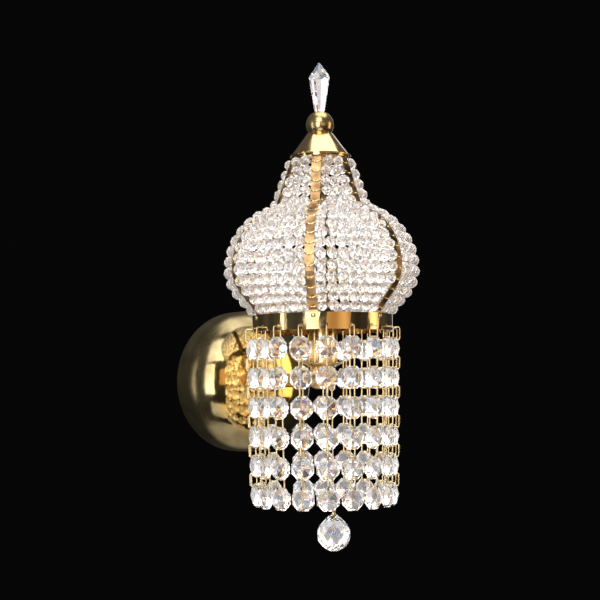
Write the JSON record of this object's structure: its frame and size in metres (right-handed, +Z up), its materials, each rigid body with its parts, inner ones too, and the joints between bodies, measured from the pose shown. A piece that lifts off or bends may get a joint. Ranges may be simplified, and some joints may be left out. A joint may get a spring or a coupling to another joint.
{
  "type": "crystal wall sconce",
  "caption": "Wall sconce with a domed brass plate, an arm, an onion dome of strung crystal beads on ribs, and hanging octagon crystal strands with a ball pendant.",
  "frame": {"origin": "centre of the two wall screw holes, on the wall plane behind the plate's centre", "axes": "+Z up, +Y into the wall, the object stands out towards -Y"},
  "size_m": [0.1642, 0.2211, 0.4072],
  "materials": {
    "polished_brass": "polished, lacquered",
    "pin_brass": "bright pale brass wire",
    "cut_crystal": "clear cut crystal",
    "crystal_beads": "clear cut crystal beads",
    "zinc_steel": "zinc plated",
    "white_plastic": "moulded",
    "black_plastic": "moulded heat-proof plastic"
  },
  "bodies": {
    "fixture": {"wall_plate": "polished_brass", "mounting_bracket": "zinc_steel", "terminal_block": "white_plastic", "arm_tube": "polished_brass", "arm_nut": "zinc_steel", "arm_collar": "polished_brass", "hub": "polished_brass", "stem_nipple": "zinc_steel", "drip_plate": "polished_brass", "socket_sleeve": "polished_brass", "lamp_holder": "black_plastic", "holder_ring": "polished_brass", "ring_spider": "polished_brass", "ring_band": "polished_brass", "dome_ribs": "polished_brass", "rib_screws": "pin_brass", "crown_disc": "polished_brass", "cone_cap": "polished_brass", "finial_ball": "polished_brass", "finial_spike": "cut_crystal", "bead_panels": "crystal_beads"},
    "pendant_wire": {"pendant_hook": "pin_brass"},
    "pendant": {"pendant_cap": "pin_brass", "pendant_ball": "cut_crystal"},
    "strand_01": {"strand_crystals_01": "cut_crystal", "strand_links_01": "pin_brass"},
    "strand_02": {"strand_crystals_02": "cut_crystal", "strand_links_02": "pin_brass"},
    "strand_03": {"strand_crystals_03": "cut_crystal", "strand_links_03": "pin_brass"},
    "strand_04": {"strand_crystals_04": "cut_crystal", "strand_links_04": "pin_brass"},
    "strand_05": {"strand_crystals_05": "cut_crystal", "strand_links_05": "pin_brass"},
    "strand_06": {"strand_crystals_06": "cut_crystal", "strand_links_06": "pin_brass"},
    "strand_07": {"strand_crystals_07": "cut_crystal", "strand_links_07": "pin_brass"},
    "strand_08": {"strand_crystals_08": "cut_crystal", "strand_links_08": "pin_brass"},
    "strand_09": {"strand_crystals_09": "cut_crystal", "strand_links_09": "pin_brass"},
    "strand_10": {"strand_crystals_10": "cut_crystal", "strand_links_10": "pin_brass"},
    "strand_11": {"strand_crystals_11": "cut_crystal", "strand_links_11": "pin_brass"},
    "strand_12": {"strand_crystals_12": "cut_crystal", "strand_links_12": "pin_brass"},
    "strand_13": {"strand_crystals_13": "cut_crystal", "strand_links_13": "pin_brass"},
    "strand_14": {"strand_crystals_14": "cut_crystal", "strand_links_14": "pin_brass"},
    "strand_15": {"strand_crystals_15": "cut_crystal", "strand_links_15": "pin_brass"},
    "strand_16": {"strand_crystals_16": "cut_crystal", "strand_links_16": "pin_brass"},
    "strand_17": {"strand_crystals_17": "cut_crystal", "strand_links_17": "pin_brass"},
    "strand_18": {"strand_crystals_18": "cut_crystal", "strand_links_18": "pin_brass"}
  },
  "joints": [
    {"name": "strand_01_swing", "type": "hinge", "parent": "fixture", "child": "strand_01", "pos_m": [0.00914, -0.19668, 0.0426], "axis": [-0.9877, -0.1564, 0], "range_deg": [-0.5, 20]},
    {"name": "strand_02_swing", "type": "hinge", "parent": "fixture", "child": "strand_02", "pos_m": [0.02831, -0.19008, 0.0426], "axis": [-0.8746, -0.4848, 0], "range_deg": [-0.5, 20]},
    {"name": "strand_03_swing", "type": "hinge", "parent": "fixture", "child": "strand_03", "pos_m": [0.04408, -0.17731, 0.0426], "axis": [-0.6561, -0.7547, 0], "range_deg": [-0.5, 20]},
    {"name": "strand_04_swing", "type": "hinge", "parent": "fixture", "child": "strand_04", "pos_m": [0.05452, -0.15993, 0.0426], "axis": [-0.3584, -0.9336, 0], "range_deg": [-0.5, 20]},
    {"name": "strand_05_swing", "type": "hinge", "parent": "fixture", "child": "strand_05", "pos_m": [0.05839, -0.14002, 0.0426], "axis": [-0.0175, -0.9998, 0], "range_deg": [-0.5, 20]},
    {"name": "strand_06_swing", "type": "hinge", "parent": "fixture", "child": "strand_06", "pos_m": [0.05541, -0.12057, 0.0426], "axis": [0.3156, -0.9489, 0], "range_deg": [-0.5, 20]},
    {"name": "strand_07_swing", "type": "hinge", "parent": "fixture", "child": "strand_07", "pos_m": [0.04658, -0.10377, 0.0426], "axis": [0.6032, -0.7976, 0], "range_deg": [-0.5, 20]},
    {"name": "strand_08_swing", "type": "hinge", "parent": "fixture", "child": "strand_08", "pos_m": [0.03274, -0.09064, 0.0426], "axis": [0.8281, -0.5606, 0], "range_deg": [-0.5, 20]},
    {"name": "strand_09_swing", "type": "hinge", "parent": "fixture", "child": "strand_09", "pos_m": [0.01551, -0.0827, 0.0426], "axis": [0.9641, -0.2656, 0], "range_deg": [-0.5, 20]},
    {"name": "strand_10_swing", "type": "hinge", "parent": "fixture", "child": "strand_10", "pos_m": [-0.01551, -0.0827, 0.0426], "axis": [0.9641, 0.2656, 0], "range_deg": [-0.5, 20]},
    {"name": "strand_11_swing", "type": "hinge", "parent": "fixture", "child": "strand_11", "pos_m": [-0.03274, -0.09064, 0.0426], "axis": [0.8281, 0.5606, 0], "range_deg": [-0.5, 20]},
    {"name": "strand_12_swing", "type": "hinge", "parent": "fixture", "child": "strand_12", "pos_m": [-0.04658, -0.10377, 0.0426], "axis": [0.6032, 0.7976, 0], "range_deg": [-0.5, 20]},
    {"name": "strand_13_swing", "type": "hinge", "parent": "fixture", "child": "strand_13", "pos_m": [-0.05541, -0.12057, 0.0426], "axis": [0.3156, 0.9489, 0], "range_deg": [-0.5, 20]},
    {"name": "strand_14_swing", "type": "hinge", "parent": "fixture", "child": "strand_14", "pos_m": [-0.0584, -0.13941, 0.0426], "axis": [-0.007, 1, 0], "range_deg": [-0.5, 20]},
    {"name": "strand_15_swing", "type": "hinge", "parent": "fixture", "child": "strand_15", "pos_m": [-0.05518, -0.15811, 0.0426], "axis": [-0.3272, 0.9449, 0], "range_deg": [-0.5, 20]},
    {"name": "strand_16_swing", "type": "hinge", "parent": "fixture", "child": "strand_16", "pos_m": [-0.04539, -0.17575, 0.0426], "axis": [-0.6293, 0.7771, 0], "range_deg": [-0.5, 20]},
    {"name": "strand_17_swing", "type": "hinge", "parent": "fixture", "child": "strand_17", "pos_m": [-0.03008, -0.18906, 0.0426], "axis": [-0.8572, 0.515, 0], "range_deg": [-0.5, 20]},
    {"name": "strand_18_swing", "type": "hinge", "parent": "fixture", "child": "strand_18", "pos_m": [-0.01114, -0.19633, 0.0426], "axis": [-0.9816, 0.1908, 0], "range_deg": [-0.5, 20]},
    {"name": "pendant_wire_swing", "type": "hinge", "parent": "fixture", "child": "pendant_wire", "pos_m": [0, -0.152, -0.0037], "axis": [1, 0, 0], "range_deg": [-12, 12]},
    {"name": "pendant_swing", "type": "hinge", "parent": "pendant_wire", "child": "pendant", "pos_m": [0, -0.152, -0.1045], "axis": [0, 1, 0], "range_deg": [-20, 20]}
  ]
}
